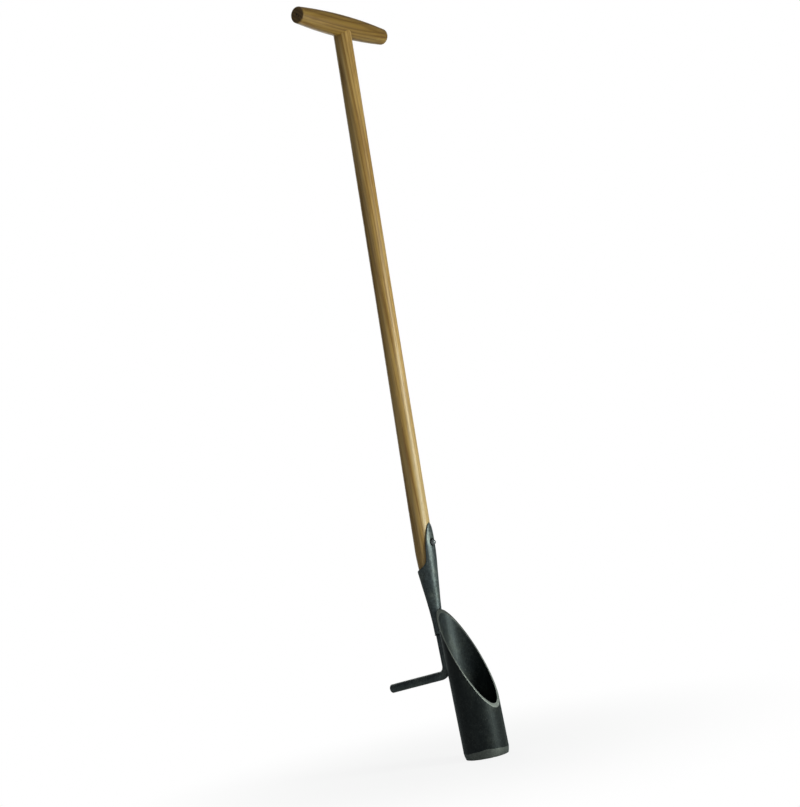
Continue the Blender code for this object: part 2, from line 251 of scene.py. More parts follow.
def along(axis, origin):
    """A matrix that stands local Z on axis, with local X kept on the world's X."""
    side = Vector((1, 0, 0))
    return Matrix.Translation(origin) @ Matrix((side, axis.cross(side), axis)).transposed().to_4x4()


def bezier(a, b, c, d, count):
    points = []
    for t in steps(0, 1, count):
        u = 1 - t
        points.append(a * u**3 + b * 3 * u * u * t + c * 3 * u * t * t + d * t**3)
    return points


def resampled(points, strides, count):
    """Points at equal lengths along a line, given the length of each stride between its present points."""
    lengths = [0.0]
    for stride in strides:
        lengths.append(lengths[-1] + stride)
    result = []
    k = 0
    for target in steps(0, lengths[-1], count):
        while k < len(points) - 2 and lengths[k + 1] < target:
            k += 1
        span = max(lengths[k + 1] - lengths[k], 1e-9)
        result.append(points[k].lerp(points[k + 1], min(1, (target - lengths[k]) / span)))
    return result


# ---- centre lines and radii -------------------------------------------------------------------------------

def shaft_y(z):
    return SHAFT_FOOT.y + (z - SHAFT_FOOT.z) * SHAFT_AXIS.y / SHAFT_AXIS.z


def centre(z):
    if z >= COLLAR_Z:
        return Vector((0, shaft_y(z), z))
    t = (z - SOCKET_BOTTOM_Z) / (COLLAR_Z - SOCKET_BOTTOM_Z)
    return Vector((0, ROD_Y + (shaft_y(COLLAR_Z) - ROD_Y) * max(t, 0), z))


def socket_radius(z):
    t = (z - SOCKET_FLARE_Z) / (SOCKET_FULL_Z - SOCKET_FLARE_Z)
    return SOCKET_END_RADIUS + (SOCKET_FULL_RADIUS - SOCKET_END_RADIUS) * ease(t)


def socket_wall(z):
    """The wall is drawn thin where it closes on the rod."""
    t = (z - SOCKET_THIN_Z) / (SOCKET_THICK_Z - SOCKET_THIN_Z)
    return SOCKET_END_WALL + (SOCKET_WALL - SOCKET_END_WALL) * ease(t)


def shaft_radius(z):
    if z <= SOCKET_FULL_Z:
        return socket_radius(z) - socket_wall(z) - GAP
    t = (z - SOCKET_FULL_Z) / (SHAFT_SLIM_Z - SOCKET_FULL_Z)
    return SHAFT_LOW_RADIUS + (SHAFT_TOP_RADIUS - SHAFT_LOW_RADIUS) * ease(t)


def grip_radius(x):
    t = x / GRIP_HALF
    return GRIP_MID_RADIUS - (GRIP_MID_RADIUS - GRIP_END_RADIUS) * t * t


# ---- materials --------------------------------------------------------------------------------------------

class Shader:
    """A node material in short: each method adds a node and returns the socket that comes out of it."""

    def __init__(self, name):
        self.material = bpy.data.materials.new(name)
        self.material.use_nodes = True
        self.tree = self.material.node_tree
        self.principled = self.tree.nodes["Principled BSDF"]

    def put(self, socket, value):
        """Links a socket or sets a plain value, and leaves the default where the value is None."""
        if isinstance(value, bpy.types.NodeSocket):
            self.tree.links.new(value, socket)
        elif value is not None:
            socket.default_value = value

    def set(self, name, value):
        self.put(self.principled.inputs[name], value)

    def coords(self, shift=(0, 0, 0), order="XYZ"):
        """Object coordinates in millimetres, moved by shift, with the axes in another order."""
        place = self.tree.nodes.new("ShaderNodeTexCoord").outputs["Object"]
        if order != "XYZ":
            split = self.tree.nodes.new("ShaderNodeSeparateXYZ")
            self.put(split.inputs[0], place)
            merge = self.tree.nodes.new("ShaderNodeCombineXYZ")
            for i, letter in enumerate(order):
                self.put(merge.inputs[i], split.outputs[letter])
            place = merge.outputs[0]
        return self.vector("ADD", self.vector("MULTIPLY", place, (1000, 1000, 1000)), shift)

    def vector(self, operation, a, b=None):
        node = self.tree.nodes.new("ShaderNodeVectorMath")
        node.operation = operation
        self.put(node.inputs[0], a)
        self.put(node.inputs[1], b)
        return node.outputs["Value" if operation in ("LENGTH", "DOT_PRODUCT") else "Vector"]

    def split(self, a):
        node = self.tree.nodes.new("ShaderNodeSeparateXYZ")
        self.put(node.inputs[0], a)
        return node.outputs

    def merge(self, x, y, z):
        node = self.tree.nodes.new("ShaderNodeCombineXYZ")
        for i, value in enumerate((x, y, z)):
            self.put(node.inputs[i], value)
        return node.outputs[0]

    def math(self, operation, a, b=None, c=None):
        node = self.tree.nodes.new("ShaderNodeMath")
        node.operation = operation
        for i, value in enumerate((a, b, c)):
            self.put(node.inputs[i], value)
        return node.outputs[0]

    def noise(self, place, stretch, detail=2.0, roughness=0.5, out="Fac"):
        """Noise with its own frequency along each axis, in cycles a millimetre."""
        node = self.tree.nodes.new("ShaderNodeTexNoise")
        self.put(node.inputs["Vector"], self.vector("MULTIPLY", place, stretch))
        node.inputs["Scale"].default_value = 1
        node.inputs["Detail"].default_value = detail
        node.inputs["Roughness"].default_value = roughness
        return node.outputs[out]

    def ramp(self, value, stops, smooth=False):
        node = self.tree.nodes.new("ShaderNodeValToRGB")
        self.put(node.inputs[0], value)
        node.color_ramp.interpolation = "EASE" if smooth else "LINEAR"
        elements = node.color_ramp.elements
        while len(elements) < len(stops):
            elements.new(0.5)
        for element, (at, colour) in zip(elements, stops):
            element.position = at
            if not isinstance(colour, tuple):
                colour = (colour, colour, colour)
            element.color = (*colour, 1)
        return node.outputs[0]

    def mix(self, factor, a, b, blend="MIX"):
        node = self.tree.nodes.new("ShaderNodeMix")
        node.data_type = "RGBA"
        node.blend_type = blend
        self.put(node.inputs[0], factor)
        self.put(node.inputs[6], (*a, 1) if isinstance(a, tuple) else a)
        self.put(node.inputs[7], (*b, 1) if isinstance(b, tuple) else b)
        return node.outputs[2]

    def attribute(self, name):
        node = self.tree.nodes.new("ShaderNodeAttribute")
        node.attribute_name = name
        return node.outputs["Fac"]

    def bump(self, height, distance, strength, normal=None):
        node = self.tree.nodes.new("ShaderNodeBump")
        node.inputs["Strength"].default_value = strength
        node.inputs["Distance"].default_value = distance
        self.put(node.inputs["Height"], height)
        self.put(node.inputs["Normal"], normal)
        return node.outputs[0]


def ash(
    name, order, shift, pith, tilt, ring=4.6, tone=UNTINTED, end_tone=UNTINTED, end_at=None, painted_highlight_heights=None
):
    """Oiled ash: long ring bands with porous dark lines, fine fibres, and dark open end grain.

    In millimetres: pith is where the tree's heart lies and ring is a year's growth. Between the two given
    heights, the side facing the key light at the front right is painted paler, a painted highlight that fades
    upwards.
    the two heights of sapwood. From 5 mm short of end_at the wood is a turned end with two centre marks.
    """
    s = Shader(name)
    place = s.coords(shift, order)
    drift = s.noise(place, (0.014, 0.014, 0.0022), 2, 0.5, "Color")
    drift = s.vector("MULTIPLY", s.vector("SUBTRACT", drift, (0.5, 0.5, 0.5)), (11, 11, 0))
    bent = s.split(s.vector("ADD", place, drift))
    lean = s.math("MULTIPLY_ADD", bent["Z"], tilt, pith[0])
    from_pith = s.merge(s.math("ADD", bent["X"], lean), s.math("ADD", bent["Y"], pith[1]), None)
    years = s.math("DIVIDE", s.vector("LENGTH", from_pith), ring)
    uneven = s.noise(s.merge(years, None, None), (0.8, 0.8, 0.8), 1)
    years = s.math("ADD", years, s.math("MULTIPLY", uneven, 1.6))
    season = s.math("FRACT", years)

    light = (0.470, 0.300, 0.094)
    middle = (0.405, 0.245, 0.066)
    dark = (0.240, 0.125, 0.024)
    brown = (0.250, 0.135, 0.030)
    cream = (0.560, 0.385, 0.150)
    line_brown = (0.275, 0.145, 0.034)
    highlight_cream = (0.640, 0.490, 0.240)
    pore_brown = (0.110, 0.052, 0.014)
    end_light = (0.150, 0.098, 0.036)
    end_dark = (0.066, 0.040, 0.013)
    year = [(0.0, dark), (0.08, dark), (0.24, middle), (0.52, light), (0.86, middle), (1.0, dark)]
    wood = s.ramp(season, year)
    early = s.ramp(season, [(0.0, 1.0), (0.16, 0.9), (0.36, 0.0), (0.90, 0.0), (1.0, 1.0)])

    streaks = s.noise(place, (0.20, 0.20, 0.0020), 2, 0.5)
    wood = s.mix(s.ramp(streaks, [(0.50, 0.0), (0.68, 0.60)]), wood, brown)
    pale = s.noise(s.vector("ADD", place, (71, 13, 5)), (0.13, 0.13, 0.0014), 2, 0.5)
    wood = s.mix(s.ramp(pale, [(0.48, 0.0), (0.66, 0.60)]), wood, cream)
    lines = s.noise(s.vector("ADD", place, (17, 29, 3)), (0.34, 0.34, 0.0020), 3, 0.55)
    wood = s.mix(s.ramp(lines, [(0.52, 0.0), (0.62, 0.55)]), wood, line_brown)
    facing = s.tree.nodes.new("ShaderNodeTexCoord").outputs["Normal"]
    # Painted highlight: the side facing the key light at the front right is painted a pale cream, strongest
    # at the lower height and gone at the upper.
    if painted_highlight_heights:
        start, end = painted_highlight_heights
        front_right = (0.57, -0.82, 0)
        low = s.math("DIVIDE", s.math("SUBTRACT", s.split(s.coords())["Z"], start), end - start)
        low = s.ramp(low, [(0.0, 0.65), (1.0, 0.0)], smooth=True)
        front = s.vector("DOT_PRODUCT", facing, front_right)
        front = s.math("ADD", front, s.math("MULTIPLY", streaks, 0.6))
        front = s.ramp(front, [(0.40, 0.0), (0.60, 1.0)])
        wood = s.mix(s.math("MULTIPLY", low, front), wood, highlight_cream)
    fibres = s.noise(place, (1.5, 1.5, 0.012), 4, 0.6)
    wood = s.mix(0.32, wood, s.ramp(fibres, [(0.30, 0.50), (0.52, 1.0), (0.75, 1.18)]), "MULTIPLY")
    pores = s.noise(place, (3.4, 3.4, 0.055), 2, 0.5)
    pores = s.math("MULTIPLY", s.ramp(pores, [(0.54, 0.0), (0.64, 1.0)]), early)
    wood = s.mix(s.math("MULTIPLY", pores, 0.45), wood, pore_brown)
    tint = s.noise(place, (0.010, 0.010, 0.0035), 2, 0.5)
    tint = s.ramp(tint, [(0.30, (0.78, 0.75, 0.70)), (0.65, (1.08, 1.06, 1.02))])
    wood = s.mix(0.6, wood, tint, "MULTIPLY")
    wood = s.mix(1.0, wood, tone, "MULTIPLY")

    end_on = s.math("ABSOLUTE", s.split(facing)[order[2]])
    end_on = s.ramp(end_on, [(0.60, 0.0), (0.95, 1.0)])
    mark_shades = []
    if end_at:
        across = s.split(s.vector("SUBTRACT", s.coords(order=order), (0, GRIP_CENTRE.z / MM, 0)))
        beyond = s.math("GREATER_THAN", s.math("ABSOLUTE", across["Z"]), end_at - 5)
        near = s.math("LESS_THAN", s.vector("LENGTH", s.merge(across["X"], across["Y"], None)), 7.0)
        end_on = s.math("MAXIMUM", end_on, s.math("MULTIPLY", beyond, near))
        for y, z, radius, _ in CENTRE_MARKS:
            offset = [s.math("SUBTRACT", across["X"], y / MM), s.math("SUBTRACT", across["Y"], z / MM)]
            away = s.math("DIVIDE", s.vector("LENGTH", s.merge(*offset, None)), radius / MM)
            # Painted shade: the wood inside each centre mark is painted down to a quarter of its colour.
            mark_shades.append(s.ramp(away, [(0.85, 0.25), (1.0, 1.0)]))
    rays = s.noise(place, (2.6, 2.6, 0.3), 4, 0.65)
    end_shade = s.ramp(season, [(0.0, 1.0), (0.45, 0.25), (1.0, 0.9)])
    end_colour = s.mix(end_shade, end_light, end_dark)
    end_colour = s.mix(0.6, end_colour, s.ramp(rays, [(0.35, 0.35), (0.60, 1.15)]), "MULTIPLY")
    for hole in mark_shades:
        end_colour = s.mix(1.0, end_colour, hole, "MULTIPLY")
    wood = s.mix(end_on, wood, s.mix(1.0, end_colour, end_tone, "MULTIPLY"))
    s.set("Base Color", wood)

    rough = s.math("MULTIPLY_ADD", fibres, 0.20, 0.30)
    s.set("Roughness", s.math("MULTIPLY_ADD", end_on, 0.25, rough))
    s.principled.inputs["Specular IOR Level"].default_value = 0.5
    hollows = s.math("ADD", pores, s.math("MULTIPLY", early, 0.25))
    grain = s.math("SUBTRACT", s.math("MULTIPLY", fibres, 0.35), hollows)
    s.set("Normal", s.bump(grain, 0.00012, 0.55))
    return s.material


def forged(name, shift, coarse=1.0, painted_highlight_gain=1.0, gloss=0.0, tint=(0.88, 1.0, 1.0, 1), hole=None):
    """Black oxide over forged steel: mottled satin with pale specks.

    The attribute bare is 1 on ground metal, more than 1 where it is rubbed bright, and -1 inside the tube,
    where the colour is painted brighter as a painted highlight. A painted shade darkens the steel round a
    screw hole, given as its height and radius.
    """
    speck = (0.165, 0.180, 0.155)
    s = Shader(name)
    place = s.coords(shift)
    mark = s.attribute("bare")
    cloud = s.noise(place, (0.045, 0.045, 0.03), 5, 0.6)
    mottle = s.noise(place, (0.55, 0.55, 0.45), 4, 0.65)
    fine = s.noise(place, (1.0, 1.0, 0.9), 3, 0.6)
    colour = s.ramp(cloud, [
        (0.28, (0.0062, 0.0082, 0.0098)),
        (0.52, (0.0105, 0.0132, 0.0140)),
        (0.75, (0.0220, 0.0255, 0.0230)),
    ])
    blotch = s.noise(place, (0.22, 0.22, 0.18), 3, 0.6)
    colour = s.mix(0.45, colour, s.math("MULTIPLY_ADD", blotch, 3.2, -0.6), "MULTIPLY")
    colour = s.mix(0.55, colour, s.math("MULTIPLY_ADD", mottle, 4.0, -1.0), "MULTIPLY")
    # Painted highlight: this gain lightens the whole part's colour, so the socket and the foot bar are
    # lighter copies of the same steel, painted for their brighter highlights.
    colour = s.mix(1.0, colour, (painted_highlight_gain, painted_highlight_gain, painted_highlight_gain), "MULTIPLY")
    specks = s.ramp(fine, [(0.60, 0.0), (0.70, 1.0)])
    patch = s.ramp(s.noise(place, (0.11, 0.11, 0.09), 3), [(0.40, 0.15), (0.64, 1.0)])
    specks = s.math("MULTIPLY", specks, patch)
    # Inside the tube (bare -1) the colour is painted about twice as bright, a painted highlight; the extra
    # pale specks there are the steel's own.
    scale = s.math("MAXIMUM", s.math("MULTIPLY", mark, -1.0), 0.0)
    colour = s.mix(1.0, colour, s.math("MULTIPLY_ADD", scale, 1.05, 1.0), "MULTIPLY")
    strength = s.math("MULTIPLY_ADD", scale, 0.35, 0.50)
    colour = s.mix(s.math("MULTIPLY", specks, strength), colour, speck)

    # Painted shade: the steel round the screw hole is painted almost black, standing in for the shade in the
    # hole and round the screw head.
    if hole:
        height, radius = hole
        spot = s.split(s.coords())
        away = s.vector("LENGTH", s.merge(spot["X"], s.math("SUBTRACT", spot["Z"], height / MM), None))
        painted_hole_shade = s.ramp(s.math("DIVIDE", away, 2 * radius / MM), [(0.48, 0.04), (0.66, 1.0)])
        colour = s.mix(1.0, colour, painted_hole_shade, "MULTIPLY")

    scratch = s.noise(place, (2.8, 2.8, 0.16), 4, 0.7)
    metal = [(0.28, (0.060, 0.067, 0.064)), (0.50, (0.115, 0.126, 0.118)), (0.72, (0.210, 0.222, 0.205))]
    ground = s.ramp(scratch, metal)
    ground = s.mix(0.6, ground, s.ramp(cloud, [(0.3, 0.65), (0.7, 1.2)]), "MULTIPLY")
    rubbed = s.math("MAXIMUM", s.math("SUBTRACT", mark, 1.0), 0.0)
    ground = s.mix(1.0, ground, s.math("MULTIPLY_ADD", rubbed, 1.5, 1.0), "MULTIPLY")
    ragged = s.math("ADD", mark, s.math("MULTIPLY", s.math("SUBTRACT", mottle, 0.5), 0.5))
    ragged = s.ramp(ragged, [(0.38, 0.0), (0.58, 1.0)])
    bare = s.math("MULTIPLY", ragged, s.ramp(mark, [(0.02, 0.0), (0.2, 1.0)]))
    s.set("Base Color", s.mix(bare, colour, ground))
    s.set("Metallic", s.math("MULTIPLY_ADD", bare, 0.30, 0.50))
    s.principled.inputs["Specular IOR Level"].default_value = 0.36
    s.principled.inputs["Specular Tint"].default_value = tint
    rough = s.math("MULTIPLY_ADD", mottle, 0.30, 0.32 - gloss)
    rough = s.math("ADD", rough, s.math("MULTIPLY", specks, 0.15))
    s.set("Roughness", s.math("ADD", rough, s.math("MULTIPLY", bare, 0.05)))
    rises = s.math("ADD", mottle, s.math("MULTIPLY", fine, 0.22))
    normal = s.bump(rises, 0.00022 * coarse, 0.6)
    s.set("Normal", s.bump(s.math("MULTIPLY", scratch, bare), 0.00010, 0.5, normal))
    return s.material


def zinc(name):
    """Bright zinc plate with a faint crystalline bloom."""
    s = Shader(name)
    place = s.coords((3, 5, 7))
    bloom = s.noise(place, (1.1, 1.1, 1.1), 4, 0.6)
    plate = [(0.30, (0.13, 0.145, 0.15)), (0.55, (0.24, 0.26, 0.27)), (0.75, (0.36, 0.38, 0.39))]
    s.set("Base Color", s.ramp(bloom, plate))
    s.principled.inputs["Metallic"].default_value = 1.0
    s.set("Roughness", s.math("MULTIPLY_ADD", bloom, 0.22, 0.32))
    s.set("Normal", s.bump(s.noise(place, (3, 3, 3), 3), 0.00004, 0.5))
    return s.material


# ---- pieces -----------------------------------------------------------------------------------------------

def window_z(y):
    return WINDOW_FRONT_Z + (y / TUBE_RADIUS + 1) / 2 * (WINDOW_BACK_Z - WINDOW_FRONT_Z)


def ground_height(angle):
    """The bevel is ground by hand, so its upper border wanders round the tube."""
    middle = 9.4
    lobes = 1.5 * math.cos(angle + math.radians(48)) + 1.0 * math.cos(3 * angle + math.radians(150))
    wander = noise.noise(Vector((math.cos(angle) * 2.1, math.sin(angle) * 2.1, 4.2))) * 1.6
    return (middle + lobes + wander) * MM


def build_tube(steel):
    """The window's rim is filed round at its corners, and rubbed brightest at its low front."""
    columns = 288
    bright_below = 75 * MM
    fade = 110 * MM
    bore = TUBE_RADIUS - TUBE_WALL
    rings = []
    marks = []
    for j in range(columns):
        angle = 2 * math.pi * j / columns
        side = math.sin(angle)
        front = math.cos(angle)
        filed = abs(noise.noise(Vector((side * 3, front * 3, 1.5)))) * 0.5 * MM

        def rim(radius, drop):
            return radius, window_z(-front * radius) - filed - drop * MM

        rubbed = 0.85 + 1.3 * (1 - ease((window_z(-front * TUBE_RADIUS) - bright_below) / fade))
        inner_top = rim(bore, 0.45)
        outer_top = rim(TUBE_RADIUS, 0.45)
        low = ground_height(angle)
        edge = bore + EDGE_LAND
        worn = abs(noise.noise(Vector((side * 9, front * 9, 8.5)))) * 0.35 * MM
        profile = [((bore, 0.25 * MM), 0.6)]
        # The mark -1 on the bore makes the steel paint the inside of the tube brighter, a painted highlight.
        profile += [((bore, z), -1.0) for z in steps(1.5 * MM, inner_top[1] - 0.4 * MM, 30)]
        profile += [
            (inner_top, min(rubbed, 0.8)),
            (rim(bore + 0.10 * MM, 0.14), rubbed),
            (rim(bore + 0.38 * MM, 0.0), rubbed),
            (rim(bore + TUBE_WALL / 2, 0.0), rubbed),
            (rim(TUBE_RADIUS - 0.38 * MM, 0.0), rubbed),
            (rim(TUBE_RADIUS - 0.10 * MM, 0.14), rubbed),
            (outer_top, min(rubbed, 0.8)),
        ]
        profile += [((TUBE_RADIUS, z), 0.0) for z in steps(outer_top[1] - 0.5 * MM, low + 0.5 * MM, 34)]
        for t in steps(0, 1, 8):
            z = low + (0.5 * MM + worn - low) * t
            belly = 0.18 * MM * math.sin(math.pi * t)
            profile.append(((TUBE_RADIUS + (edge - TUBE_RADIUS) * t + belly, z), 1.0))
        profile += [((edge - 0.25 * MM, worn), 1.0), ((bore + 0.2 * MM, worn), 1.0)]
        rings.append([Vector((radius * side, -radius * front, z)) for (radius, z), _ in profile])
        marks.append([mark for _, mark in profile])
    mesh = lattice("tube_steel", rings, looped=True)
    paint(mesh, [point for ring in rings for point in ring], [mark for column in marks for mark in column])
    piece("tube_steel", mesh, steel, "forged_steel", "cutting_tube", sharp=50)


def paint(mesh, points, marks):
    """Writes the bare-metal mark of each modelled point on the mesh."""
    layer = mesh.attributes.new("bare", "FLOAT", "POINT")
    known = {tuple(round(c * 1e6) for c in point): mark for point, mark in zip(points, marks)}
    for vertex in mesh.vertices:
        layer.data[vertex.index].value = known.get(tuple(round(c * 1e6) for c in vertex.co), 0.0)


def build_foot_bar(steel):
    turn = math.pi / 2 - BAR_DROOP
    setback = BEND_RADIUS * math.tan(turn / 2)
    out = Vector((0, math.cos(BAR_DROOP), -math.sin(BAR_DROOP)))
    corner = Vector((0, ROD_Y, BAR_Z))
    hub = corner + Vector((0, BEND_RADIUS, setback))
    path = [Vector((0, ROD_Y, z)) for z in (ROD_TOP_Z, ROD_TOP_Z - ROD_CHAMFER)]
    path += [Vector((0, ROD_Y, z)) for z in steps(ROD_TOP_Z - 6 * MM, hub.z + 3 * MM, 30)]
    for angle in steps(0, turn, 25):
        path.append(hub + Vector((0, -math.cos(angle), -math.sin(angle))) * BEND_RADIUS)
    start = setback + 3 * MM
    path += [corner + out * reach for reach in steps(start, BAR_REACH - 3 * MM, 40)]
    radii = [ROD_RADIUS - ROD_CHAMFER] + [ROD_RADIUS] * (len(path) - 1)
    for inset, reach in ((0.0, 1.7), (0.15, 1.3), (0.75, 0.6), (1.35, 0.12), (1.75, 0.0)):
        path.append(corner + out * (BAR_REACH - reach * MM))
        radii.append(ROD_RADIUS - inset * MM)
    mesh = swept("foot_bar_steel", path, radii, 56, dents=0.16 * MM)
    piece("foot_bar_steel", mesh, steel, "forged_steel", "foot_bar")


def tongue_edge():
    """The socket's upper border as (angle from the front, height) points, from the tip round to the back."""
    def spot(forward, z):
        return Vector((forward, z))

    tip = spot(SOCKET_FULL_RADIUS + GAP, TONGUE_TIP_Z)
    neck = spot(TONGUE_NECK_FORWARD, TONGUE_NECK_Z)
    heel = spot(-socket_radius(COLLAR_Z), COLLAR_Z)
    down = (neck - tip).normalized()
    bow = Vector((down.y, -down.x)) * TONGUE_BOW
    side = bezier(tip, tip.lerp(neck, 0.3) + bow, tip.lerp(neck, 0.7) + bow, neck, 60)
    fillet = bezier(neck, neck + down * 10 * MM, heel + spot(18 * MM, 4.5 * MM), heel, 60)
    border = []
    for forward, z in side + fillet[1:]:
        reach = max(-1.0, min(1.0, forward / socket_radius(z)))
        border.append(Vector((math.acos(reach), z)))
    return border


def on_shell(angle, z, radius):
    """A point round the socket's and the shaft's centre line, with the angle counted from the front."""
    return centre(z) + Vector((radius * math.sin(angle), -radius * math.cos(angle), 0))


def build_socket(steel):
    edge = tongue_edge()
    strides = [math.hypot((b.x - a.x) * SOCKET_FULL_RADIUS, b.y - a.y) for a, b in zip(edge, edge[1:])]
    half = resampled(edge, strides, 100)
    border = [Vector((-p.x, p.y)) for p in reversed(half[1:])] + half[:-1]
    count = len(border)
    inward = []
    for i in range(count):
        a = border[i - 1]
        b = border[(i + 1) % count]
        dx = (b.x - a.x + math.pi) % (2 * math.pi) - math.pi
        along_border = Vector((dx * SOCKET_FULL_RADIUS, b.y - a.y)).normalized()
        inward.append(Vector((along_border.y, -along_border.x)))

    def inset(i, depth):
        shift = inward[i] * depth * MM
        most = 0.7 * abs(border[i].x) * SOCKET_FULL_RADIUS
        sideways = max(-most, min(most, shift.x))
        return Vector((border[i].x + sideways / SOCKET_FULL_RADIUS, border[i].y + shift.y))

    rings = []
    for i in range(count):
        spread = -math.pi + 2 * math.pi * i / count
        foot = Vector(((border[i].x + spread) / 2, SOCKET_BOTTOM_Z))
        brink = inset(i, 1.3)
        wall = [foot.lerp(brink, t) for t in steps(0.006, 1, 60)]
        thin = 0.5 * MM * ease((border[i].y - 285 * MM) / (45 * MM))

        def outer(p, less=0.0):
            hammered = 0.10 * MM * noise.noise(Vector((p.x * 3, p.y * 60, 2.5)))
            near_tip = thin * ease((p.y - 280 * MM) / (50 * MM))
            return on_shell(p.x, p.y, socket_radius(p.y) - near_tip - abs(hammered) - less * MM)

        def inner(p, more=0.0):
            return on_shell(p.x, p.y, socket_radius(p.y) - socket_wall(p.y) + more * MM)

        column = [outer(foot, 0.45)] + [outer(p) for p in wall]
        column += [
            outer(inset(i, 0.75), 0.06),
            outer(inset(i, 0.34), 0.26),
            outer(inset(i, 0.10), 0.55),
            outer(inset(i, 0.0), 0.95),
            inner(inset(i, 0.06), 0.35),
            inner(inset(i, 0.30), 0.08),
        ]
        column += [inner(p) for p in reversed(wall)] + [inner(foot, 0.3)]
        rings.append(column)
    shell = lattice("socket_steel", rings, looped=True)
    clear = TUBE_RADIUS + 0.08 * MM
    saddle = turned(
        "saddle",
        [(0, WINDOW_BACK_Z + 0.1 * MM), (clear, WINDOW_BACK_Z + 0.1 * MM), (clear, 150 * MM), (0, 150 * MM)],
        192,
    )
    seat = SOCKET_FULL_RADIUS - COUNTERBORE_DEPTH
    hole = turned(
        "hole",
        [
            (0, SOCKET_FULL_RADIUS + 6 * MM),
            (COUNTERBORE_RADIUS + 5 * MM, SOCKET_FULL_RADIUS + 6 * MM),
            (COUNTERBORE_RADIUS + 1.0 * MM, SOCKET_FULL_RADIUS - 0.5 * MM),
            (COUNTERBORE_RADIUS + 0.3 * MM, SOCKET_FULL_RADIUS - 1.0 * MM),
            (COUNTERBORE_RADIUS, seat),
            (SCREW_SHANK_RADIUS + GAP, seat),
            (SCREW_SHANK_RADIUS + GAP, 0),
            (0, 0),
        ],
        48,
        screw_frame(),
    )
    mesh = carved("socket_steel", shell, [("DIFFERENCE", saddle), ("DIFFERENCE", hole)])
    piece("socket_steel", mesh, steel, "forged_steel", "socket", sharp=42)


def screw_frame():
    outward = Vector((0, -SHAFT_AXIS.z, SHAFT_AXIS.y))
    return along(outward, Vector((0, shaft_y(SCREW_Z), SCREW_Z)))


def build_screw(plate):
    under = SOCKET_FULL_RADIUS - COUNTERBORE_DEPTH + GAP
    rim = 0.9 * MM
    dome = SCREW_HEAD_HEIGHT - rim
    tip = under - SCREW_SHANK_LENGTH
    top = under + SCREW_HEAD_HEIGHT
    profile = [(0, top)]
    for angle in steps(math.radians(84), 0, 16):
        profile.append((SCREW_HEAD_RADIUS * math.cos(angle), under + rim + dome * math.sin(angle)))
    profile += [
        (SCREW_HEAD_RADIUS, under + 0.35 * MM),
        (SCREW_HEAD_RADIUS - 0.3 * MM, under),
        (SCREW_SHANK_RADIUS, under),
        (SCREW_SHANK_RADIUS, tip + 4 * MM),
        (0, tip),
    ]
    head = turned("screw_zinc", profile, 64, screw_frame())
    slot = block(
        "slot",
        (1.1 * MM, 4 * SCREW_HEAD_RADIUS, 2.2 * MM),
        screw_frame() @ Matrix.Rotation(math.radians(24), 4, "Z") @ Matrix.Translation((0, 0, top)),
    )
    mesh = carved("screw_zinc", head, [("DIFFERENCE", slot)])
    piece("screw_zinc", mesh, plate, "zinc_steel", "socket_screw")


def barrel(name, extra=0.0):
    """The grip's turned shape along X: swelling to the middle, with rounded shoulders."""
    flat = GRIP_HALF - GRIP_EDGE_ROUND
    side = []
    for angle in steps(math.pi / 2, 0, 11):
        inset = GRIP_EDGE_ROUND * (1 - math.cos(angle))
        side.append((grip_radius(flat) - inset + extra, flat + (GRIP_EDGE_ROUND + extra) * math.sin(angle)))
    side += [(grip_radius(x) + extra, x) for x in steps(flat, 0, 40)[1:]]
    upper = [(0, GRIP_HALF + extra), (3 * MM, GRIP_HALF + extra)] + side
    lower = [(radius, -height) for radius, height in reversed(upper[:-1])]
    matrix = Matrix.Translation(GRIP_CENTRE) @ Matrix.Rotation(math.pi / 2, 4, "Y")
    return turned(name, upper + lower, 128, matrix)


def upright(name, radius, low, high):
    """A cylinder along the shaft, with its heights measured from the grip's centre."""
    profile = [(0, high), (radius, high), (radius, low), (0, low)]
    return turned(name, profile, 96, along(SHAFT_AXIS, GRIP_CENTRE))


def drill(x, y, z, radius, depth):
    """A cone that leaves a small centre mark in one end of the grip."""
    side = math.copysign(1, x)
    profile = [(0, 2 * MM), (radius * 1.4, 2 * MM), (radius, 0.0), (0, -depth)]
    matrix = Matrix.Translation(GRIP_CENTRE + Vector((x, y, z))) @ Matrix.Rotation(side * math.pi / 2, 4, "Y")
    return turned("centre_mark", profile, 24, matrix)


def sky():
    """All that lies above the grip's surface, which cuts the tenon and the wedge flush."""
    edge = 60 * MM
    cube = block("sky", (edge, edge, edge), Matrix.Translation(GRIP_CENTRE + Vector((0, 0, edge / 2))))
    return carved("sky", cube, [("DIFFERENCE", barrel("core"))])


def wedge_blank(extra):
    """Thin along the grip and tapering downwards, with extra on every side but its top."""
    high = 24 * MM
    slope = (WEDGE_TOP - WEDGE_BOTTOM) / (GRIP_MID_RADIUS + WEDGE_DEPTH)
    mesh = bpy.data.meshes.new("wedge")
    work = bmesh.new()
    bmesh.ops.create_cube(work, size=1)
    for vertex in work.verts:
        thick = WEDGE_TOP + slope * (high - GRIP_MID_RADIUS) if vertex.co.z > 0 else WEDGE_BOTTOM
        vertex.co.x = math.copysign(thick / 2 + extra, vertex.co.x)
        vertex.co.y *= WEDGE_WIDTH + 2 * extra
        vertex.co.z *= high + WEDGE_DEPTH + extra
    work.to_mesh(mesh)
    work.free()
    lift = Matrix.Translation((0, 0, (high - WEDGE_DEPTH - extra) / 2))
    mesh.transform(along(SHAFT_AXIS, GRIP_CENTRE) @ lift)
    return mesh


def build_grip(wood):
    cuts = [("DIFFERENCE", upright("mortise", TENON_RADIUS + 0.15 * MM, -40 * MM, 40 * MM))]
    for side in (-1, 1):
        for y, z, radius, depth in CENTRE_MARKS:
            cuts.append(("DIFFERENCE", drill(side * GRIP_HALF, y, z, radius, depth)))
    piece("grip_ash", carved("grip_ash", barrel("grip_ash"), cuts), wood, "ash_wood", "t_grip")


def build_wedge(wood):
    mesh = carved("wedge_wood", wedge_blank(0), [("DIFFERENCE", sky())])
    piece("wedge_wood", mesh, wood, "wedge_wood", "tenon_wedge")


